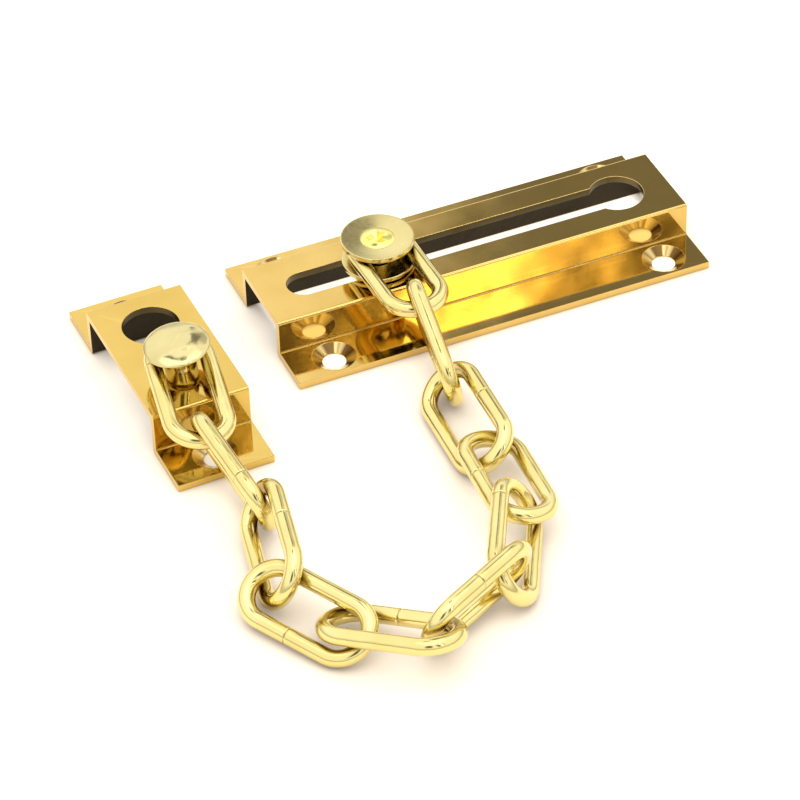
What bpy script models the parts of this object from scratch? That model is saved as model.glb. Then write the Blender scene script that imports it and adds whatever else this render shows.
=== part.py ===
"""Door chain guard.

A slotted track plate for the door, a keeper plate for the door frame, and a chain of oval wire
links that runs from the slider in the track to the stud on the keeper.
World frame: +Z up, track along X with its keyhole at +X, chain laid out on the floor towards -Y.
Every length is in millimetres until it meets MM.
"""
import bpy
import bmesh
from math import atan2, cos, pi, radians, sin, sqrt
from mathutils import Euler, Matrix, Vector

MM = 0.001

# Position of the track's keyless end (left end of its centre line) in the world
TRACK_END = Vector((-33.6, 53.6, 0.0))

# Pressed sheet of both plates
SHEET = 1.9
BEND = 0.7                 # outside radius of the bends
SCREW_R = 2.85             # clear hole for a fixing screw
SINK_R = 5.4               # countersink at the top face
SINK_FLOOR = 0.3           # where the cone meets the clear hole

# Track plate
TRACK_LENGTH = 110.0
TRACK_WIDTH = 49.0         # over both flanges
TRACK_TOP = 23.8           # over the raised part
TRACK_HEIGHT = 11.0
SLOT_HALF = 4.45
SLOT_END = 7.3             # from the plate's left end
KEYHOLE_X = 96.2
KEYHOLE_R = 6.85
TRACK_SCREWS_X = (11.5, 100.4)
TRACK_SCREWS_Y = 18.4

# Keeper plate (its channel runs along X too, its flanges point along Y)
KEEPER_AT = Vector((-28.15, -10.55, 0.0))  # centre, from the track's left end
KEEPER_TURN = 1.1          # degrees, about its centre
KEEPER_LENGTH = 24.4       # along X
KEEPER_WIDTH = 71.6        # over both flanges
KEEPER_TOP = 43.6
KEEPER_HEIGHT = 12.2
KEEPER_SCREW_Y = 28.85     # from the centre
KEEPER_HOLE_Y = 10.05
KEEPER_HOLE_R = 7.0
STUD_AT = Vector((-0.45, -11.55, 0.0))     # from the keeper's centre

# Keeper stud
STUD_R = 3.9
STUD_TAIL_R = 2.7          # riveted through the plate
STUD_TAIL_HOLE_R = 3.0
STUD_TAIL_HEAD_R = 4.1     # under the plate
STUD_SHANK = 8.9           # from its foot to the head
STUD_HEAD_R = 8.0
STUD_LEAN = 5.4            # degrees, towards -X
GAP = 0.3                  # between pieces that touch on the real object

# Slider
SLIDER_X = 31.3            # where it stands in the track
NECK_R = 3.0
NECK_TOP = 16.6            # heights from here on are above the door's face
FOOT_R = 6.2               # passes the keyhole, wider than the slot
COLLAR_R = 9.0
COLLAR_BORE_R = 3.4
COLLAR_LOW, COLLAR_TOP = 11.3, 12.5
KNOB_R = 9.05
KNOB_LOW, KNOB_TOP = 17.45, 18.85
BORE_R = 1.8               # in the neck's top, for the screw
SCREW_SHANK_R = 1.5
SCREW_HEAD_R = 4.2
RECESS_LENGTH, RECESS_WIDTH = 5.0, 1.2

# Chain link: two straights and two half rounds of the same wire
WIRE_R = 2.05
LINK_HALF_STRAIGHT = 9.2
LINK_BEND_R = 6.7          # to the middle of the wire
BEND_STEPS = 8
WIRE_SIDES = 12

# Each link as it lies, link 1 on the keeper stud, the last one on the slider:
# middle of the link (world, mm), heading of its long axis, slope, roll about the long axis (degrees)
LINKS = (
    (-63.4, 23.0, 15.5, -98, -10, -5),
    (-62.7, -2.9, 10.6, -83, -9, -71),
    (-63.6, -27.5, 8.8, -101, -3, 60),
    (-63.5, -48.6, 5.5, -60, -2, 27),
    (-49.7, -63.4, 7.7, -48, 12, -17),
    (-29.0, -63.3, 9.4, 25.5, 2.5, -73.5),
    (-13.1, -49.3, 7.9, 62, 2, 55),
    (-5.1, -27.7, 7.0, 85, -5, 11),
    (-4.7, -4.2, 6.3, 88, 0, -39),
    (-2.2, 19.6, 10.8, 83, 13, 77),
    (-1.5, 43.9, 14.9, 91, 0, 0),
)

# Where each link turns against the piece before it (the one nearer the slider), in the same order
PIVOTS = (
    (-64.7, 14.0, 13.9),
    (-60.7, -15.2, 8.8),
    (-67.5, -40.5, 5.8),
    (-59.3, -60.1, 5.2),
    (-42.9, -69.3, 7.7),
    (-18.8, -59.7, 9.5),
    (-5.9, -36.8, 7.8),
    (-6.0, -19.0, 6.7),
    (-4.1, 9.5, 8.5),
    (-0.3, 35.0, 14.1),
    (-2.3, 53.6, 14.9),
)
KEEPER_PIVOT = (-62.0, 31.1, 12.5)         # the stud's foot, where the keeper turns against link 1

for old in list(bpy.data.objects):
    bpy.data.objects.remove(old, do_unlink=True)


def brass(name, color, roughness):
    mat = bpy.data.materials.new(name)
    mat.use_nodes = True
    shader = mat.node_tree.nodes["Principled BSDF"]
    shader.inputs["Base Color"].default_value = (*color, 1.0)
    shader.inputs["Roughness"].default_value = roughness
    shader.inputs["Metallic"].default_value = 1.0
    return mat


PLATE_BRASS = brass("plate_brass", (0.83, 0.55, 0.17), 0.2)
KEEPER_BRASS = brass("keeper_brass", (0.88, 0.62, 0.22), 0.22)
CHAIN_BRASS = brass("chain_brass", (0.90, 0.78, 0.42), 0.18)
STUD_BRASS = brass("stud_brass", (0.90, 0.76, 0.38), 0.25)
PIN_BRASS = brass("pin_brass", (0.80, 0.62, 0.28), 0.3)
COLLAR_BRASS = brass("collar_brass", (0.86, 0.68, 0.30), 0.22)
KNOB_BRASS = brass("knob_brass", (0.88, 0.74, 0.38), 0.2)
SCREW_BRASS = brass("screw_brass", (0.92, 0.74, 0.28), 0.22)


def body(name, bm, mat=None, at=(0, 0, 0), turn=(0, 0, 0), smooth=False):
    """One closed mesh as a named object, its location in millimetres and its turn in degrees."""
    bmesh.ops.recalc_face_normals(bm, faces=bm.faces)
    mesh = bpy.data.meshes.new(name)
    bm.to_mesh(mesh)
    bm.free()
    for vert in mesh.vertices:
        vert.co *= MM
    if smooth:
        mesh.shade_smooth()
    if mat:
        mesh.materials.append(mat)
    obj = bpy.data.objects.new(name, mesh)
    obj.location = Vector(at) * MM
    obj.rotation_euler = Euler([radians(a) for a in turn])
    bpy.context.scene.collection.objects.link(obj)
    return obj


def hang(piece, at, pivot):
    """Parents a piece to an empty that stands on its upright joint axis; the piece itself stays where it is."""
    empty = bpy.data.objects.new(piece.name + "_pivot", None)
    empty.location = Vector(pivot) * MM
    bpy.context.scene.collection.objects.link(empty)
    piece.parent = empty
    piece.location = (Vector(at) - Vector(pivot)) * MM


def skin(bm, rings, closed=False):
    """Quads between rings of equal count; the ends are capped unless the last ring meets the first."""
    rows = [[bm.verts.new(p) for p in ring] for ring in rings]
    count = len(rows[0])
    for a, b in zip(rows, rows[1:] + rows[:1] if closed else rows[1:]):
        for i in range(count):
            j = (i + 1) % count
            bm.faces.new((a[i], a[j], b[j], b[i]))
    if not closed:
        bm.faces.new(rows[0][::-1])
        bm.faces.new(rows[-1])
    return bm


def circle(r, z, steps, shift=0.0, tilt=0.0):
    """A ring of points about the Z axis, moved along X and tipped about Y."""
    return [Vector((shift + r * cos(t) * cos(tilt), r * sin(t), z - r * cos(t) * sin(tilt)))
            for t in (2 * pi * i / steps for i in range(steps))]


def turned(profile, steps=36):
    """A turned solid from (radius, height) pairs, bottom to top."""
    return skin(bmesh.new(), [circle(r, z, steps) for r, z in profile])


def turned_ring(profile, steps=36):
    """A turned solid with a hole: the (radius, height) pairs go once round the section."""
    return skin(bmesh.new(), [circle(r, z, steps) for r, z in profile], closed=True)


def prism(outline, low, high, axis="Z"):
    """The outline pushed from low to high: (x, y) along Z, or (y, z) along X."""
    lift = {"Z": lambda p, h: Vector((p[0], p[1], h)), "X": lambda p, h: Vector((h, p[0], p[1]))}[axis]
    return skin(bmesh.new(), [[lift(p, low) for p in outline], [lift(p, high) for p in outline]])


def arc(cx, cy, r, start, end, steps):
    angles = [radians(start + (end - start) * i / steps) for i in range(steps + 1)]
    return [(cx + r * cos(a), cy + r * sin(a)) for a in angles]


def cut(target, cutter):
    cutter.hide_render = True
    cutter.display_type = "WIRE"
    cutter.parent = target
    mod = target.modifiers.new(cutter.name, "BOOLEAN")
    mod.operation = "DIFFERENCE"
    mod.solver = "EXACT"
    mod.object = cutter


def hat_section(width, top, height):
    """Section of a pressed plate across its channel, (y, z) going round once."""
    foot, edge = width / 2, top / 2
    outer = [(foot, 0.0), (foot, SHEET), (edge, SHEET)] + arc(edge - BEND, height - BEND, BEND, 0, 90, 4)
    inner = arc(edge - SHEET + BEND, BEND, BEND, 270, 180, 4) + [(edge - SHEET, height - SHEET)]
    right = outer[::-1] + inner  # from the bend on top, down to the flange's foot and back up inside
    return right + [(-y, z) for y, z in right[::-1]]


def plate(name, mat, at, width, top, height, low, high, turn=0.0):
    return body(name, prism(hat_section(width, top, height), low, high, "X"), mat, at, (0, 0, turn))


def screw_hole(target, x, y):
    """Clear hole and countersink through a flange; the cone runs on a little above the face."""
    slope = (SINK_R - SCREW_R) / (SHEET - SINK_FLOOR)
    over = 0.4
    tool = turned([(SCREW_R, -1.0), (SCREW_R, SINK_FLOOR), (SINK_R + slope * over, SHEET + over)], 32)
    cut(target, body("hole_tool_%s_%d_%d" % (target.name, x, y), tool, at=(x, y, 0)))


def round_hole(target, x, y, r, low, high, name):
    cut(target, body(name, turned([(r, low), (r, high)], 36), at=(x, y, 0)))


# Track plate, its own origin at its left end on the centre line
track = plate("track_plate", PLATE_BRASS, TRACK_END, TRACK_WIDTH, TRACK_TOP, TRACK_HEIGHT,
              0, TRACK_LENGTH)
for x in TRACK_SCREWS_X:
    for side in (-1, 1):
        screw_hole(track, x, side * TRACK_SCREWS_Y)
meet = atan2(SLOT_HALF, sqrt(KEYHOLE_R ** 2 - SLOT_HALF ** 2)) * 180 / pi
slot = arc(SLOT_END + SLOT_HALF, 0, SLOT_HALF, 90, 270, 16)
slot += arc(KEYHOLE_X, 0, KEYHOLE_R, -180 + meet, 180 - meet, 32)
cut(track, body("slot_tool", prism(slot, TRACK_HEIGHT - SHEET - 2, TRACK_HEIGHT + 2)))

# Keeper plate, its own origin at the middle of its foot
keeper_at = TRACK_END + KEEPER_AT
keeper = plate("keeper_plate", KEEPER_BRASS, keeper_at, KEEPER_WIDTH, KEEPER_TOP, KEEPER_HEIGHT,
               -KEEPER_LENGTH / 2, KEEPER_LENGTH / 2, KEEPER_TURN)
for side in (-1, 1):
    screw_hole(keeper, 0, side * KEEPER_SCREW_Y)
round_hole(keeper, 0, KEEPER_HOLE_Y, KEEPER_HOLE_R, 5, 16, "keeper_hole_tool")
round_hole(keeper, STUD_AT.x, STUD_AT.y, STUD_TAIL_HOLE_R, 5, 16, "stud_hole_tool")

# Keeper stud: riveted under the plate, the shank leans a little, wide low-domed head
# each row is radius, height along the shank, share of the lean that the ring already has
foot_z = KEEPER_HEIGHT + GAP
tail_z = KEEPER_HEIGHT - SHEET - GAP
head_z = foot_z + STUD_SHANK
lean = radians(STUD_LEAN)
stud_rows = (
    (STUD_TAIL_HEAD_R - 0.7, tail_z - 1.2, 0), (STUD_TAIL_HEAD_R, tail_z - 0.8, 0),
    (STUD_TAIL_HEAD_R, tail_z, 0), (STUD_TAIL_R, tail_z, 0), (STUD_TAIL_R, foot_z, 0), (STUD_R, foot_z, 0),
    (STUD_R, foot_z + 2.0, 0.5), (STUD_R, foot_z + 5.0, 1), (STUD_R, head_z, 1),
    (STUD_HEAD_R - 1.4, head_z + 0.2, 1), (STUD_HEAD_R - 0.1, head_z + 0.85, 1), (STUD_HEAD_R, head_z + 1.35, 1),
    (STUD_HEAD_R - 0.7, head_z + 1.85, 1), (STUD_HEAD_R - 2.4, head_z + 2.4, 1),
    (STUD_HEAD_R - 4.8, head_z + 2.75, 1), (STUD_HEAD_R - 7.2, head_z + 2.85, 1),
)
stud_rings = []
for r, z, share in stud_rows:
    rise = max(0.0, z - foot_z)
    stud_rings.append(circle(r, foot_z + rise * cos(lean) if rise else z, 32,
                             shift=-rise * sin(lean), tilt=-lean * share))
stud_at = keeper_at + Matrix.Rotation(radians(KEEPER_TURN), 3, "Z") @ STUD_AT
stud = body("keeper_stud", skin(bmesh.new(), stud_rings), STUD_BRASS, stud_at)
hang(keeper, keeper_at, KEEPER_PIVOT)
hang(stud, stud_at, KEEPER_PIVOT)

# Slider, all on one vertical axis: foot and neck in one, collar, knob and the screw that holds the knob
slider_at = TRACK_END + Vector((SLIDER_X, 0, 0))
foot_top = TRACK_HEIGHT - SHEET - 0.4
body("slider_pin", turned([
    (FOOT_R - 0.5, foot_top - 1.5), (FOOT_R, foot_top - 1.1), (FOOT_R, foot_top), (NECK_R, foot_top),
    (NECK_R, NECK_TOP), (BORE_R, NECK_TOP), (BORE_R, NECK_TOP - 4.2)], 32), PIN_BRASS, slider_at)
body("slider_collar", turned_ring([
    (COLLAR_BORE_R, COLLAR_LOW), (COLLAR_R - 0.3, COLLAR_LOW), (COLLAR_R, COLLAR_LOW + 0.3),
    (COLLAR_R, COLLAR_TOP - 0.3), (COLLAR_R - 0.3, COLLAR_TOP), (COLLAR_BORE_R, COLLAR_TOP)]),
    COLLAR_BRASS, slider_at)
body("slider_knob", turned_ring([
    (SCREW_SHANK_R + 0.35, NECK_TOP + GAP), (NECK_R, NECK_TOP + GAP), (NECK_R, KNOB_LOW),
    (KNOB_R - 0.5, KNOB_LOW), (KNOB_R, KNOB_LOW + 0.35), (KNOB_R, KNOB_TOP - 0.35), (KNOB_R - 0.5, KNOB_TOP),
    (KNOB_R - 1.6, KNOB_TOP - 0.1), (6.0, KNOB_TOP - 0.6), (4.4, KNOB_TOP - 0.85),
    (SCREW_SHANK_R + 0.35, KNOB_TOP - 0.85)]), KNOB_BRASS, slider_at)
screw_z = KNOB_TOP - 0.85 + GAP
screw = body("slider_screw", turned([
    (SCREW_SHANK_R, NECK_TOP - 3.8), (SCREW_SHANK_R, screw_z), (SCREW_HEAD_R - 0.1, screw_z),
    (SCREW_HEAD_R, screw_z + 0.12), (SCREW_HEAD_R - 0.6, screw_z + 0.38), (SCREW_HEAD_R - 1.6, screw_z + 0.62),
    (SCREW_HEAD_R - 3.2, screw_z + 0.76)], 32), SCREW_BRASS, slider_at)
for name, w, d in (("recess_across", RECESS_LENGTH, RECESS_WIDTH),
                   ("recess_along", RECESS_WIDTH, RECESS_LENGTH)):
    outline = [(-w / 2, -d / 2), (w / 2, -d / 2), (w / 2, d / 2), (-w / 2, d / 2)]
    cut(screw, body(name, prism(outline, screw_z + 0.2, screw_z + 2.7)))


def wire_link():
    """Closed oval of round wire in the XY plane, long axis along X, about its middle."""
    rings = []
    for end in (1, -1):
        for i in range(BEND_STEPS + 1):
            a = -pi / 2 + pi * i / BEND_STEPS + (0 if end > 0 else pi)
            out = Vector((cos(a), sin(a), 0))
            mid = Vector((end * LINK_HALF_STRAIGHT, 0, 0)) + out * LINK_BEND_R
            rings.append([mid + (out * cos(t) + Vector((0, 0, 1)) * sin(t)) * WIRE_R
                          for t in (2 * pi * j / WIRE_SIDES for j in range(WIRE_SIDES))])
    return skin(bmesh.new(), rings, closed=True)


for number, ((x, y, z, heading, slope, roll), pivot) in enumerate(zip(LINKS, PIVOTS), 1):
    link = body("link_%02d" % number, wire_link(), CHAIN_BRASS, (x, y, z), (roll, -slope, heading), smooth=True)
    hang(link, (x, y, z), pivot)
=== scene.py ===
from math import atan2, cos, hypot, pi, radians, sin, sqrt

import bmesh
import bpy
import numpy as np
from mathutils import Matrix, Vector


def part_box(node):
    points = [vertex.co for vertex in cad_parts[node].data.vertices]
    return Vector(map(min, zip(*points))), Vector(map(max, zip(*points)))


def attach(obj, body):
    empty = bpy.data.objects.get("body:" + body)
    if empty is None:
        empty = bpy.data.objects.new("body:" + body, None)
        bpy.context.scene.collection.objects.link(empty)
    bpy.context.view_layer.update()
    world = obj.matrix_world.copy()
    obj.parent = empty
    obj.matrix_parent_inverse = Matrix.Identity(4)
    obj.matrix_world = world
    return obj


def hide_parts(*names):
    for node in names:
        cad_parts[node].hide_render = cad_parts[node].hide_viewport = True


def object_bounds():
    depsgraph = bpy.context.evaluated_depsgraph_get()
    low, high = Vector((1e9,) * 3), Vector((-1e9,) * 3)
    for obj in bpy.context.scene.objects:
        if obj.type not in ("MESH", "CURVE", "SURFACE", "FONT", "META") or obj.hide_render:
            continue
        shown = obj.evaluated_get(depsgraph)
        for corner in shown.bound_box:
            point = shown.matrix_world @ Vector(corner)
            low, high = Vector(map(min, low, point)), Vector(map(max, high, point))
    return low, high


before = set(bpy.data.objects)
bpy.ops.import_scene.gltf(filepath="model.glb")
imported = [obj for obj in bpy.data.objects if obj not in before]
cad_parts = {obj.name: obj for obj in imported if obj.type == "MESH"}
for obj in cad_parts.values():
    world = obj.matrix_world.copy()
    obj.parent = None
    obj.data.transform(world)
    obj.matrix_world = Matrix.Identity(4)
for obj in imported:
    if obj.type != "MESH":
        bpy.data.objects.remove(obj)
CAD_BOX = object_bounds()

MM = 0.001
CUTTER = "cutter"

# ------------------------------------------------ sizes of the object, in millimetres
SHEET = 1.9
BEND, FILLET = 0.7, 0.45
SCREW_R, SINK_R, SINK_FLOOR = 2.85, 5.4, 0.3
TRACK_LENGTH, TRACK_WIDTH, TRACK_TOP, TRACK_HEIGHT = 110.0, 49.0, 23.8, 11.0
SLOT_HALF, SLOT_END = 4.45, 7.3
KEYHOLE_X, KEYHOLE_R = 96.2, 6.85
TRACK_SCREWS = [(x, y) for x in (11.5, 100.4) for y in (-18.4, 18.4)]
KEEPER_LENGTH, KEEPER_WIDTH, KEEPER_TOP, KEEPER_HEIGHT, KEEPER_TURN = 24.4, 71.6, 43.6, 12.2, 1.1
KEEPER_SCREWS = [(0.0, -28.85), (0.0, 28.85)]
KEEPER_HOLE = (0.0, 10.05, 7.0)
STUD_AT = (-0.45, -11.55)
STUD_R, STUD_HEAD_R, STUD_LEAN = 3.9, 8.0, 5.4
WIRE_R, HALF_STRAIGHT, BEND_R = 2.05, 9.2, 6.7
NECK_R, FOOT_R, COLLAR_R, KNOB_R = 3.0, 6.2, 9.0, 9.05

scene = bpy.context.scene


def mm(*p):
    return Vector(p) * MM


# ------------------------------------------------ materials
class Nodes:
    """Short hand for building a node tree."""

    def __init__(self, tree):
        self.tree = tree

    def add(self, kind, **values):
        node = self.tree.nodes.new(kind)
        for key, value in values.items():
            if hasattr(node, key):
                setattr(node, key, value)
            else:
                node.inputs[key.replace("_", " ")].default_value = value
        return node

    def link(self, a, b):
        self.tree.links.new(a, b)


def noise(n, coords, scale, detail=3.0, roughness=0.55, distortion=0.0):
    node = n.add("ShaderNodeTexNoise")
    for key, value in (("Scale", scale), ("Detail", detail), ("Roughness", roughness),
                       ("Distortion", distortion)):
        node.inputs[key].default_value = value
    n.link(coords, node.inputs["Vector"])
    return node.outputs["Fac"]


def remap(n, value, low, high, to_low, to_high):
    node = n.add("ShaderNodeMapRange")
    for key, v in (("From Min", low), ("From Max", high), ("To Min", to_low), ("To Max", to_high)):
        node.inputs[key].default_value = v
    n.link(value, node.inputs["Value"])
    return node.outputs["Result"]


def math_node(n, operation, a, b=None):
    node = n.add("ShaderNodeMath", operation=operation)
    for slot, value in zip(node.inputs, (a, b)):
        if value is None:
            continue
        if isinstance(value, (int, float)):
            slot.default_value = value
        else:
            n.link(value, slot)
    return node.outputs[0]


# Painted shade: the dark brown mixed into brass where another piece is near, and how far that
# reaches.
CONTACT_SHADE, CONTACT_SHADE_REACH = (0.20, 0.10, 0.025), 0.0035


def brass(name, bright, deep, rough=0.12, rough_spread=0.08, wave=0.0, grain=0.03, wear=0.35,
          wave_scale=45.0, contact_shade=0.0):
    """Polished brass. The colour drifts between bright and deep, roughness and surface vary a
    little, outer edges are rubbed brighter, and painted shade darkens it where another piece is
    near."""
    mat = bpy.data.materials.new(name)
    mat.use_nodes = True
    n = Nodes(mat.node_tree)
    shader = mat.node_tree.nodes["Principled BSDF"]
    coords = n.add("ShaderNodeTexCoord").outputs["Object"]
    drift = remap(n, noise(n, coords, 60.0, 3.0, 0.6), 0.35, 0.68, 0.0, 1.0)
    colour = n.add("ShaderNodeMix", data_type="RGBA")
    colour.inputs[6].default_value = (*bright, 1.0)
    colour.inputs[7].default_value = (*deep, 1.0)
    n.link(drift, colour.inputs[0])
    edge = remap(n, n.add("ShaderNodeNewGeometry").outputs["Pointiness"], 0.53, 0.60, 0.0, wear)
    rub = n.add("ShaderNodeMix", data_type="RGBA")
    rub.inputs[7].default_value = (*[min(1.0, c * 1.08 + 0.03) for c in bright], 1.0)
    n.link(edge, rub.inputs[0])
    n.link(colour.outputs[2], rub.inputs[6])
    last_colour = rub.outputs[2]
    # Painted shade: ambient occlusion darkens the colour towards dark brown near other pieces.
    if contact_shade:
        near = n.add("ShaderNodeAmbientOcclusion", samples=6)
        near.inputs["Distance"].default_value = CONTACT_SHADE_REACH
        contact_shade_mix = n.add("ShaderNodeMix", data_type="RGBA")
        contact_shade_mix.inputs[7].default_value = (*CONTACT_SHADE, 1.0)
        n.link(remap(n, near.outputs["AO"], 0.25, 0.85, contact_shade, 0.0), contact_shade_mix.inputs[0])
        n.link(last_colour, contact_shade_mix.inputs[6])
        last_colour = contact_shade_mix.outputs[2]
    n.link(last_colour, shader.inputs["Base Color"])
    shader.inputs["Metallic"].default_value = 1.0
    n.link(remap(n, noise(n, coords, 900.0, 4.0, 0.6), 0.3, 0.7,
                 rough - rough_spread / 2, rough + rough_spread / 2), shader.inputs["Roughness"])
    fine = n.add("ShaderNodeBump")
    fine.inputs["Strength"].default_value = grain
    fine.inputs["Distance"].default_value = 0.0002
    n.link(noise(n, coords, 2500.0, 2.0), fine.inputs["Height"])
    if wave:
        broad = n.add("ShaderNodeBump")
        broad.inputs["Strength"].default_value = 1.0
        broad.inputs["Distance"].default_value = wave
        n.link(noise(n, coords, wave_scale, 1.5, 0.4), broad.inputs["Height"])
        n.link(broad.outputs["Normal"], fine.inputs["Normal"])
    n.link(fine.outputs["Normal"], shader.inputs["Normal"])
    return mat


def sink_streak_brass(name, bright, deep):
    """The cone a countersink cutter leaves, with painted reflections: bright and dark streaks down
    it.
    """
    mat = brass(name, bright, bright, 0.22, 0.08, grain=0.08, wear=0.0)
    n = Nodes(mat.node_tree)
    shader = mat.node_tree.nodes["Principled BSDF"]
    normal = n.add("ShaderNodeTexCoord").outputs["Normal"]
    flat = n.add("ShaderNodeVectorMath", operation="MULTIPLY")
    n.link(normal, flat.inputs[0])
    flat.inputs[1].default_value = (1.0, 1.0, 0.0)
    painted_streak = remap(n, noise(n, flat.outputs["Vector"], 2.6, 2.0, 0.5), 0.42, 0.56, 0.0, 1.0)
    mix = n.add("ShaderNodeMix", data_type="RGBA")
    mix.inputs[6].default_value = (*deep, 1.0)
    mix.inputs[7].default_value = (*bright, 1.0)
    n.link(painted_streak, mix.inputs[0])
    n.link(mix.outputs[2], shader.inputs["Base Color"])
    return mat


PLATE = brass("polished_plate", (0.72, 0.505, 0.165), (0.66, 0.45, 0.13), 0.075, 0.03,
              wave=0.0002, grain=0.007)
KEEPER = brass("polished_keeper", (0.69, 0.485, 0.135), (0.64, 0.44, 0.11), 0.075, 0.03,
               wave=0.00008, grain=0.007)
# Painted shade: near-black rough brass for the undersides and the faces inside the channel, where
# shade falls.
INSIDE_SHADE = brass("inside_painted_shade", (0.052, 0.041, 0.025), (0.038, 0.03, 0.018), 0.5, 0.15,
               grain=0.15, wear=0.0)
# Cut walls of the slot and holes: rougher than the polished faces, and painted dark with shade.
CUT_SHADE = brass("dull_cut_painted_shade", (0.14, 0.105, 0.048), (0.09, 0.068, 0.03), 0.32, 0.12, grain=0.12, wear=0.0)
# Painted shade: a darker brass line in the fillet at the foot of each web.
CORNER_SHADE = brass("corner_painted_shade", (0.52, 0.33, 0.09), (0.40, 0.25, 0.06), 0.28, 0.08)
# Painted reflections and shade: light and dark streaks on the countersink cones.
SINK = sink_streak_brass("sink_painted_streaks", (0.80, 0.62, 0.26), (0.16, 0.09, 0.03))
# Chain, knob and stud: painted shade darkens them where another piece is near.
CHAIN = brass("polished_chain", (0.82, 0.71, 0.32), (0.75, 0.63, 0.245), 0.15, 0.06,
              wave=0.0003, wave_scale=120.0, contact_shade=0.75)
KNOB = brass("satin_knob", (0.74, 0.64, 0.30), (0.68, 0.57, 0.24), 0.20, 0.06, wave=0.0002,
             contact_shade=0.6)
STUD = brass("polished_stud", (0.70, 0.61, 0.30), (0.60, 0.50, 0.22), 0.15, 0.08,
             wave=0.0011, wave_scale=130.0, contact_shade=0.5)
SCREW = brass("polished_screw", (0.90, 0.81, 0.30), (0.82, 0.71, 0.18), 0.15, 0.06, wave=0.0001)


# ------------------------------------------------ building blocks
def piece(name, bm, mat, at=None, smooth=True):
    """Makes an object in metres, at a world position or matrix, of a mesh in millimetres."""
    bmesh.ops.recalc_face_normals(bm, faces=bm.faces)
    mesh = bpy.data.meshes.new(name)
    bm.to_mesh(mesh)
    bm.free()
    mesh.transform(Matrix.Scale(MM, 4))
    if smooth:
        mesh.shade_smooth()
    if mat:
        mesh.materials.append(mat)
    obj = bpy.data.objects.new(name, mesh)
    scene.collection.objects.link(obj)
    if isinstance(at, Matrix):
        obj.matrix_world = at
    elif at is not None:
        obj.location = at
    return obj


def skin(bm, rings, closed=False):
    """Joins rings of equal count into one surface, capped at both ends or closed on itself."""
    rows = [[bm.verts.new(p) for p in ring] for ring in rings]
    count = len(rows[0])
    for a, b in zip(rows, rows[1:] + rows[:1] if closed else rows[1:]):
        for i in range(count):
            j = (i + 1) % count
            bm.faces.new((a[i], a[j], b[j], b[i]))
    if not closed:
        bm.faces.new(rows[0][::-1])
        bm.faces.new(rows[-1])
    return bm


def ring(r, z, steps=96, shift=0.0, tilt=0.0):
    return [Vector((shift + r * cos(t) * cos(tilt), r * sin(t), z - r * cos(t) * sin(tilt)))
            for t in (2 * pi * i / steps for i in range(steps))]


def rounded(profile, radius=0.25, steps=4):
    """Rounds the corners of an open (r, z) profile."""
    out = [profile[0]]
    for a, b, c in zip(profile, profile[1:], profile[2:]):
        la, lc = hypot(a[0] - b[0], a[1] - b[1]), hypot(c[0] - b[0], c[1] - b[1])
        d = min(radius, la * 0.45, lc * 0.45)
        p = (b[0] + (a[0] - b[0]) * d / la, b[1] + (a[1] - b[1]) * d / la)
        q = (b[0] + (c[0] - b[0]) * d / lc, b[1] + (c[1] - b[1]) * d / lc)
        for i in range(steps + 1):
            t = i / steps
            out.append(tuple((1 - t) ** 2 * p[k] + 2 * t * (1 - t) * b[k] + t * t * q[k]
                             for k in (0, 1)))
    out.append(profile[-1])
    return out


def turned(profile, steps=96):
    return skin(bmesh.new(), [ring(r, z, steps) for r, z in profile])


def turned_ring(profile, radius=0.2, steps=96):
    """A ring from its section, given once round; every corner is rounded."""
    loop = rounded([profile[-1]] + profile + [profile[0]], radius)[1:-1]
    return skin(bmesh.new(), [ring(r, z, steps) for r, z in loop], closed=True)


def prism(outline, low, high, axis="Z"):
    lift = {"Z": lambda p, h: Vector((p[0], p[1], h)),
            "X": lambda p, h: Vector((h, p[0], p[1]))}[axis]
    return skin(bmesh.new(), [[lift(p, low) for p in outline], [lift(p, high) for p in outline]])


def arc(cx, cy, r, start, end, steps):
    angles = [radians(start + (end - start) * i / steps) for i in range(steps + 1)]
    return [(cx + r * cos(a), cy + r * sin(a)) for a in angles]


def apply_modifiers(obj):
    bpy.context.view_layer.update()
    graph = bpy.context.evaluated_depsgraph_get()
    mesh = bpy.data.meshes.new_from_object(obj.evaluated_get(graph), preserve_all_data_layers=True,
                                           depsgraph=graph)
    obj.modifiers.clear()
    old = obj.data
    obj.data = mesh
    bpy.data.meshes.remove(old)
    mesh.name = obj.name


def mark_outer_edges(mesh, angle):
    """Gives the outer corners a bevel weight, so that only they are rounded."""
    bm = bmesh.new()
    bm.from_mesh(mesh)
    weight = bm.edges.layers.float.new("bevel_weight_edge")
    for edge in bm.edges:
        if len(edge.link_faces) == 2 and edge.is_convex and edge.calc_face_angle() > angle:
            edge[weight] = 1.0
    bm.to_mesh(mesh)
    bm.free()


def shade_by_area(mesh, limit=30):
    """Smooth normals that lean to the larger face, so that only the rims of flat faces turn."""
    bm = bmesh.new()
    bm.from_mesh(mesh)
    bm.normal_update()
    joined = {edge.index: len(edge.link_faces) == 2 and edge.calc_face_angle() < radians(limit)
              for edge in bm.edges}
    normals = [None] * len(mesh.loops)
    for vert in bm.verts:
        left = set(vert.link_loops)
        while left:
            todo, group = [left.pop()], []
            while todo:
                loop = todo.pop()
                group.append(loop)
                for other in list(left):
                    shared = set(loop.face.edges) & set(other.face.edges)
                    if any(joined[e.index] for e in shared if vert in e.verts):
                        left.discard(other)
                        todo.append(other)
            total = Vector()
            for loop in group:
                total += loop.face.normal * loop.face.calc_area()
            total.normalize()
            for loop in group:
                normals[loop.index] = total
    bm.free()
    mesh.normals_split_custom_set(normals)


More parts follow.
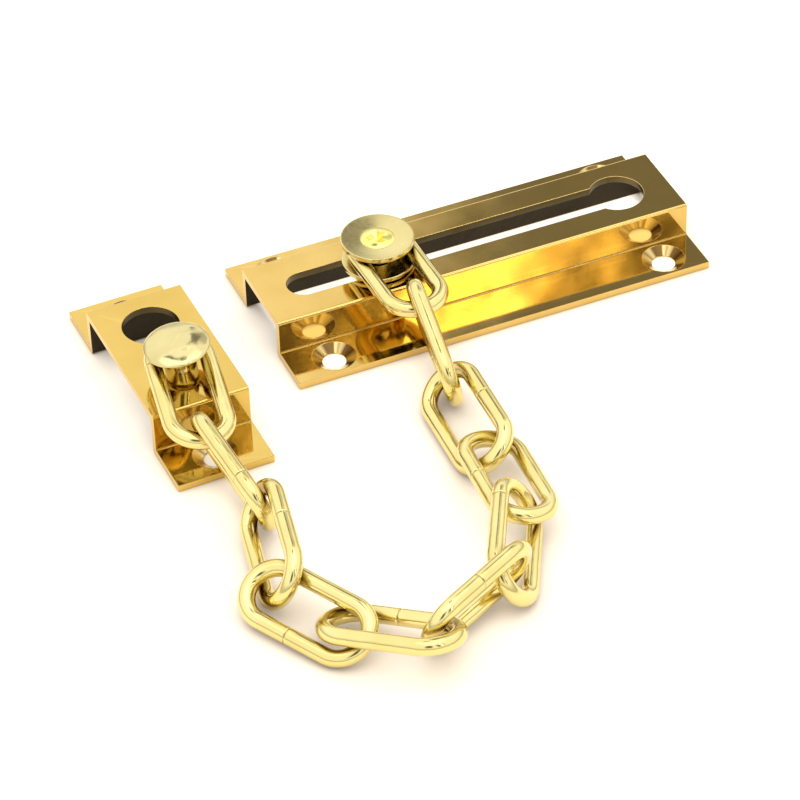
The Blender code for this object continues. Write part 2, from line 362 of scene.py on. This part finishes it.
def settle(obj, cutters=(), bevel=0.0, segments=4, angle=25):
    """Cuts the cutters out, rounds the edges and keeps the result as a plain mesh."""
    for cutter in cutters:
        mod = obj.modifiers.new("cut", "BOOLEAN")
        mod.operation, mod.solver, mod.object = "DIFFERENCE", "EXACT", cutter
    apply_modifiers(obj)
    for cutter in cutters:
        bpy.data.objects.remove(cutter, do_unlink=True)
    if bevel:
        mark_outer_edges(obj.data, radians(angle))
        mod = obj.modifiers.new("edge", "BEVEL")
        mod.width, mod.segments = bevel * MM, segments
        mod.limit_method = "WEIGHT"
        apply_modifiers(obj)
    shade_by_area(obj.data)
    return obj


# ------------------------------------------------ plates
def hat_section(width, top, height):
    """Outline of a pressed hat section: two flanges, two webs and a raised top."""
    foot, edge = width / 2, top / 2
    fillet = arc(edge + FILLET, SHEET + FILLET, FILLET, 270, 180, 6)
    outer = [(foot, 0.0), (foot, SHEET)] + fillet + arc(edge - BEND, height - BEND, BEND, 0, 90, 8)
    inner = arc(edge - SHEET + BEND, BEND, BEND, 270, 180, 8) + [(edge - SHEET, height - SHEET)]
    right = outer[::-1] + inner
    return right + [(-y, z) for y, z in right[::-1]]


def moved(at, x, y):
    """The frame at (a matrix or a position), moved by x and y millimetres along its own axes."""
    frame_at = at if isinstance(at, Matrix) else Matrix.Translation(at)
    return frame_at @ Matrix.Translation(mm(x, y, 0))


def hole(r, low, high, x, y, at, steps=96):
    return piece(CUTTER, turned([(r, low), (r, high)], steps), None, moved(at, x, y))


def screw_hole(x, y, at):
    """Cutter for a countersunk hole, which opens upwards and runs past both faces of the sheet."""
    slope = (SINK_R - SCREW_R) / (SHEET - SINK_FLOOR)
    over = 0.4
    profile = [(SCREW_R, -1.0), (SCREW_R, SINK_FLOOR), (SINK_R + slope * over, SHEET + over)]
    return piece(CUTTER, turned(profile), None, moved(at, x, y))


def plate(name, mat, at, width, top, height, low, high, cutters):
    """One pressed plate from low to high along X, faces sorted for painted shade and streaks."""
    section = prism(hat_section(width, top, height), low, high, "X")
    obj = settle(piece(name, section, mat, at), cutters, bevel=0.13)
    for other in (INSIDE_SHADE, CUT_SHADE, SINK, CORNER_SHADE):
        obj.data.materials.append(other)
    edge = top / 2
    # Painted shade on undersides, channel faces, cut walls and web fillets; painted streaks on
    # countersinks.
    for face in obj.data.polygons:
        normal, (x, y, z) = face.normal, face.center / MM
        y = abs(y)
        facing_in = y < edge - SHEET + 0.05 and z < height - SHEET - 0.02 and normal.z < 0.5
        if (normal.z < -0.5 or facing_in) and abs(normal.x) < 0.7:
            face.material_index = 1
        elif 0.5 < normal.z < 0.95 and y > edge + 1.0:
            face.material_index = 3
        elif abs(normal.z) < 0.3 and y < edge - 3 and low + 0.5 < x < high - 0.5:
            face.material_index = 2
        elif 0.1 < normal.z < 0.99 and SHEET < z < SHEET + FILLET and edge < y < edge + FILLET:
            face.material_index = 4
    return obj


low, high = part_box("track_plate")
track_at = Vector((low[0], (low[1] + high[1]) / 2, 0.0))
meet = atan2(SLOT_HALF, sqrt(KEYHOLE_R ** 2 - SLOT_HALF ** 2)) * 180 / pi
slot_outline = arc(SLOT_END + SLOT_HALF, 0, SLOT_HALF, 90, 270, 48)
slot_outline += arc(KEYHOLE_X, 0, KEYHOLE_R, -180 + meet, 180 - meet, 72)
slot_cutter = piece(CUTTER, prism(slot_outline, TRACK_HEIGHT - 4, TRACK_HEIGHT + 2), None, track_at)
track = plate("track_plate_look", PLATE, track_at, TRACK_WIDTH, TRACK_TOP, TRACK_HEIGHT,
              0, TRACK_LENGTH,
              [slot_cutter] + [screw_hole(x, y, track_at) for x, y in TRACK_SCREWS])
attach(track, "track")
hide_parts("track_plate")

low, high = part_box("keeper_plate")
keeper_mid = Vector(((low[0] + high[0]) / 2, (low[1] + high[1]) / 2, 0.0))
keeper_at = Matrix.Translation(keeper_mid) @ Matrix.Rotation(radians(KEEPER_TURN), 4, "Z")
kx, ky, kr = KEEPER_HOLE
keeper = plate("keeper_plate_look", KEEPER, keeper_at, KEEPER_WIDTH, KEEPER_TOP, KEEPER_HEIGHT,
               -KEEPER_LENGTH / 2, KEEPER_LENGTH / 2,
               [hole(kr, 5, 16, kx, ky, keeper_at), hole(3.0, 5, 16, *STUD_AT, keeper_at)]
               + [screw_hole(x, y, keeper_at) for x, y in KEEPER_SCREWS])
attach(keeper, "keeper")
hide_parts("keeper_plate")

# ------------------------------------------------ keeper stud
foot = KEEPER_HEIGHT + 0.3
tail = KEEPER_HEIGHT - SHEET - 0.3
lean = radians(STUD_LEAN)
# radius, height and share of the lean, from the riveted tail up
shank = [(0.3, tail - 1.25, 0), (3.2, tail - 1.2, 0), (3.9, tail - 0.9, 0), (4.1, tail - 0.5, 0),
         (4.1, tail, 0), (2.7, tail, 0), (2.7, foot, 0), (STUD_R, foot, 0),
         (STUD_R, foot + 1.0, 0.25), (STUD_R, foot + 2.0, 0.5), (STUD_R, foot + 3.5, 0.8),
         (STUD_R, foot + 5.0, 1), (STUD_R, foot + 8.6, 1), (STUD_R + 0.3, foot + 8.85, 1)]
head = [(STUD_HEAD_R - 1.4, foot + 9.1), (STUD_HEAD_R - 0.1, foot + 9.75),
        (STUD_HEAD_R, foot + 10.25), (STUD_HEAD_R - 0.7, foot + 10.75),
        (STUD_HEAD_R - 2.4, foot + 11.3), (STUD_HEAD_R - 4.8, foot + 11.65), (0.2, foot + 11.75)]
rows = shank + [(r, z, 1) for r, z in rounded(head, 0.9, 5)]
rings = []
for r, z, share in rows:
    rise = max(0.0, z - foot)
    at_height = foot + rise * cos(lean) if rise else z
    rings.append(ring(r, at_height, 96, -rise * sin(lean), -lean * share))
stud_at = Matrix.Translation(moved(keeper_at, *STUD_AT).translation)
stud = piece("keeper_stud_look", skin(bmesh.new(), rings), STUD, stud_at)
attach(stud, "keeper")
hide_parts("keeper_stud")

# ------------------------------------------------ slider
low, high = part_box("slider_knob")
slider_at = Vector(((low[0] + high[0]) / 2, (low[1] + high[1]) / 2, 0.0))
under = TRACK_HEIGHT - SHEET
pin = piece("slider_pin_look", turned(rounded([
    (0.3, under - 1.9), (FOOT_R - 0.4, under - 1.9), (FOOT_R, under - 1.5), (FOOT_R, under - 0.4),
    (NECK_R, under - 0.4), (NECK_R, 16.6), (1.8, 16.6), (1.8, 12.4), (0.2, 12.4)], 0.15)),
    KNOB, slider_at)
collar = piece("slider_collar_look", turned_ring([
    (3.4, 11.3), (COLLAR_R, 11.3), (COLLAR_R, 12.5), (3.4, 12.5)], 0.35), KNOB, slider_at)
knob = piece("slider_knob_look", turned_ring([
    (1.85, 16.9), (NECK_R, 16.9), (NECK_R, 17.45), (KNOB_R, 17.45), (KNOB_R, 18.85),
    (KNOB_R - 0.35, 18.85), (7.0, 18.71), (5.6, 18.57), (4.4, 18.44), (3.6, 18.3), (1.85, 18.28)],
    0.35), KNOB, slider_at)
screw = piece("slider_screw_look", turned(rounded([
    (0.3, 12.8), (1.5, 12.8), (1.5, 18.33), (4.1, 18.33), (4.25, 18.42), (3.8, 18.72),
    (2.8, 19.02), (1.5, 19.24), (0.2, 19.3)], 0.4)), SCREW, slider_at)
CORNERS = ((-1, -1), (1, -1), (1, 1), (-1, 1))
cross = []
for w, d in ((3.2, 1.05), (1.05, 3.2)):
    base = [Vector((sx * w * 0.1, sy * d * 0.1, 17.6)) for sx, sy in CORNERS]
    wide = [Vector((sx * w * 1.05, sy * d * 1.05, 19.45)) for sx, sy in CORNERS]
    cross.append(piece(CUTTER, skin(bmesh.new(), [base, wide]), None, slider_at))
settle(screw, cross, bevel=0.08, segments=2, angle=40)
for obj, node, slot in ((pin, "slider_pin", "pin"), (collar, "slider_collar", "collar"),
                        (knob, "slider_knob", "knob"), (screw, "slider_screw", "screw")):
    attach(obj, "slider")
    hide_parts(node)


# ------------------------------------------------ chain
def cad_frame(node):
    """Middle and axes of a link, read from its CAD solid: long axis, side axis, flat normal."""
    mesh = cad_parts[node].data
    points = np.empty(len(mesh.vertices) * 3)
    mesh.vertices.foreach_get("co", points)
    points = points.reshape(-1, 3)
    middle = points.mean(axis=0)
    _, _, axes = np.linalg.svd(points - middle)
    return Vector(middle), [Vector(a) for a in axes]


def wire_link(seam_side, seam_at):
    """Oval of round wire whose two ends meet in a thin groove on one straight."""
    sides, bend_steps = 40, 28
    groove = ((-0.45, 0.0), (-0.22, 0.015), (-0.12, 0.10), (-0.05, 0.32),
              (0.05, 0.32), (0.12, 0.10), (0.22, 0.015), (0.45, 0.0))
    stations = []
    for end in (1, -1):
        for i in range(bend_steps + 1):
            a = -pi / 2 + pi * i / bend_steps + (0 if end > 0 else pi)
            out = Vector((cos(a), sin(a), 0))
            stations.append((Vector((end * HALF_STRAIGHT, 0, 0)) + out * BEND_R, out, WIRE_R))
        side = Vector((0, 1 if end > 0 else -1, 0))
        way = -1 if end > 0 else 1
        span = [(t, 0.0) for t in np.linspace(-0.9, 0.9, 9)]
        if side.y == seam_side:
            marks = [(seam_at / HALF_STRAIGHT + g / HALF_STRAIGHT, d) for g, d in groove]
            span = [s for s in span if abs(s[0] - seam_at / HALF_STRAIGHT) > 0.08] + marks
        for t, dip in sorted(span, key=lambda mark: mark[0] * way):
            x = t * HALF_STRAIGHT
            stations.append((Vector((x, side.y * BEND_R, 0)), side, WIRE_R - dip))
    rings = []
    for mid, out, r in stations:
        rings.append([mid + (out * cos(t) + Vector((0, 0, 1)) * sin(t)) * r
                      for t in (2 * pi * j / sides for j in range(sides))])
    return skin(bmesh.new(), rings, closed=True)


centres = {k: cad_frame("link_%02d" % k)[0] for k in range(1, 12)}
# which straight the butt seam is in, and how far along it
SEAMS = {1: (-1, -8.3), 2: (-1, 7.0), 3: (1, -2.0), 4: (-1, -1.0), 5: (1, -1.0), 6: (-1, -1.0),
         7: (1, 8.3), 8: (1, 1.0), 9: (-1, 1.5), 10: (-1, 0.0), 11: (-1, 8.3)}
for k in range(1, 12):
    node = "link_%02d" % k
    middle, (u, v, n) = cad_frame(node)
    onward = centres[k + 1] - middle if k < 11 else slider_at - middle
    if u.dot(onward) < 0:
        u = -u
    if n.z < 0:
        n = -n
    v = n.cross(u)
    place = Matrix.Translation(middle) @ Matrix((u, v, n)).transposed().to_4x4()
    obj = piece(node + "_look", wire_link(*SEAMS[k]), CHAIN, place)
    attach(obj, node)
    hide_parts(node)

# ------------------------------------------------ floor
floor_bm = bmesh.new()
bmesh.ops.create_circle(floor_bm, cap_ends=True, cap_tris=False, segments=96, radius=1800.0)
floor = piece("floor", floor_bm, None, Vector((0, 0, -0.0001)), smooth=False)
paper = bpy.data.materials.new("paper_painted_glow")
paper.use_nodes = True
paper_shader = paper.node_tree.nodes["Principled BSDF"]
paper_shader.inputs["Roughness"].default_value = 0.6
paper_shader.inputs["Specular IOR Level"].default_value = 0.2
n = Nodes(paper.node_tree)
spot = n.add("ShaderNodeTexCoord").outputs["Object"]
fibre = n.add("ShaderNodeMix", data_type="RGBA")
fibre.inputs[6].default_value = (0.66, 0.575, 0.465, 1.0)
fibre.inputs[7].default_value = (0.69, 0.605, 0.495, 1.0)
n.link(noise(n, spot, 700.0, 3.0), fibre.inputs[0])
n.link(fibre.outputs[2], paper_shader.inputs["Base Color"])
# Painted light: the paper glows, and ambient occlusion dims the glow near the parts into painted
# contact shadows.
openness = n.add("ShaderNodeAmbientOcclusion", samples=8)
openness.inputs["Distance"].default_value = 0.012
glow = remap(n, openness.outputs["AO"], 0.25, 0.90, 0.10, 0.60)
# Painted light: full glow over the track's footprint, so the floor shows white through its slot and
# holes.
low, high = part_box("track_plate")
place = n.add("ShaderNodeSeparateXYZ")
n.link(spot, place.inputs[0])
under = None
for axis in (0, 1):
    for edge, way in ((low[axis], 1.0), (high[axis], -1.0)):
        inside = remap(n, place.outputs[axis], edge + way * 0.002, edge + way * 0.005, 0.0, 1.0)
        under = inside if under is None else math_node(n, "MULTIPLY", under, inside)
n.link(math_node(n, "MAXIMUM", glow, under), paper_shader.inputs["Emission Strength"])
paper_shader.inputs["Emission Color"].default_value = (1.0, 0.945, 0.87, 1.0)
floor.data.materials.append(paper)


# ------------------------------------------------ light
def aim(azimuth, elevation):
    a, e = radians(azimuth), radians(elevation)
    return Vector((sin(a) * cos(e), -cos(a) * cos(e), sin(e)))


def window(n, value, half, soft):
    """1 inside +-half, falling smoothly to 0 over soft."""
    near = n.add("ShaderNodeMath", operation="ABSOLUTE")
    n.link(value, near.inputs[0])
    fall = n.add("ShaderNodeMapRange", interpolation_type="SMOOTHSTEP")
    for key, v in (("From Min", half + soft), ("From Max", half - soft), ("To Min", 0.0),
                   ("To Max", 1.0)):
        fall.inputs[key].default_value = v
    n.link(near.outputs[0], fall.inputs["Value"])
    return fall.outputs["Result"]


def dot(n, direction, axis):
    node = n.add("ShaderNodeVectorMath", operation="DOT_PRODUCT")
    n.link(direction, node.inputs[0])
    node.inputs[1].default_value = axis
    return node.outputs["Value"]


# The studio around the object: a pale tent over a dark horizon, with dark and bright areas.
TENT, HORIZON, HORIZON_TOP = 1.35, 0.48, 22.0
TOP_LIGHT, TOP_FROM, TOP_FULL = 0.8, 57.0, 72.0
# azimuth, elevation of the middle, half width, half height, softness (degrees), brightness there
AREAS = (
    (-22.0, 39.0, 13.0, 13.0, 3.0, 0.10),
    (137.0, 36.0, 9.0, 12.0, 2.0, 0.75),
    (178.0, 71.0, 22.0, 6.0, 2.0, 0.25),
    (151.5, 42.0, 6.0, 14.0, 2.0, 0.25),
    (15.0, 38.0, 7.5, 14.0, 0.8, 0.22),
    (29.0, 38.0, 3.0, 12.0, 1.0, 0.28),
    (25.5, 38.0, 1.2, 12.0, 0.8, 1.8),
    (23.7, 38.0, 1.1, 12.0, 0.6, 6.5),
)
world = bpy.data.worlds.new("studio")
scene.world = world
world.use_nodes = True
w = Nodes(world.node_tree)
towards = w.add("ShaderNodeTexCoord").outputs["Generated"]
height = math_node(w, "MULTIPLY", math_node(w, "ARCSINE", dot(w, towards, (0, 0, 1))), 180 / pi)
level = remap(w, height, 0.0, HORIZON_TOP, HORIZON, TENT)
level = math_node(w, "ADD", level, remap(w, height, TOP_FROM, TOP_FULL, 0.0, TOP_LIGHT))
for azimuth, elevation, half, tall, soft, value in AREAS:
    forward, side = aim(azimuth, 0), aim(azimuth + 90, 0)
    turned_by = math_node(w, "ARCTAN2", dot(w, towards, side), dot(w, towards, forward))
    across = math_node(w, "MULTIPLY", turned_by, 180 / pi)
    above = math_node(w, "SUBTRACT", height, elevation)
    share = math_node(w, "MULTIPLY", window(w, across, half, soft),
                      window(w, above, tall, soft * 2))
    blend = w.add("ShaderNodeMix", data_type="FLOAT")
    w.link(share, blend.inputs[0])
    w.link(level, blend.inputs[2])
    blend.inputs[3].default_value = value
    level = blend.outputs[0]
seen = w.add("ShaderNodeLightPath").outputs["Is Camera Ray"]
plain = w.add("ShaderNodeMix", data_type="FLOAT")
w.link(seen, plain.inputs[0])
w.link(level, plain.inputs[2])
plain.inputs[3].default_value = 1.0
sky = world.node_tree.nodes["Background"]
sky.inputs["Color"].default_value = (1.0, 0.985, 0.95, 1.0)
w.link(plain.outputs[0], sky.inputs["Strength"])

# ------------------------------------------------ camera
CAM_AZ, CAM_EL, CAM_ROLL, CAM_DIST = -22.357, 40.426, -1.858, 0.88246
CAM_LENS = 166.23
CAM_AIM = (-13.513, 15.036, 0.0)
middle = (CAD_BOX[0] + CAD_BOX[1]) / 2
target = Vector((middle.x, middle.y, 0.0)) + mm(*CAM_AIM)
cam_data = bpy.data.cameras.new("camera")
cam_data.lens, cam_data.sensor_width = CAM_LENS, 36.0
cam_data.clip_start, cam_data.clip_end = 0.05, 20.0
cam = bpy.data.objects.new("camera", cam_data)
back = aim(CAM_AZ, CAM_EL)
right = Vector((cos(radians(CAM_AZ)), sin(radians(CAM_AZ)), 0))
up = back.cross(right)
turn = radians(CAM_ROLL)
right, up = right * cos(turn) + up * sin(turn), up * cos(turn) - right * sin(turn)
cam.matrix_world = (Matrix.Translation(target + back * CAM_DIST)
                    @ Matrix((right, up, back)).transposed().to_4x4())
scene.collection.objects.link(cam)
scene.camera = cam
scene.view_settings.view_transform = "Standard"
scene.view_settings.look = "None"
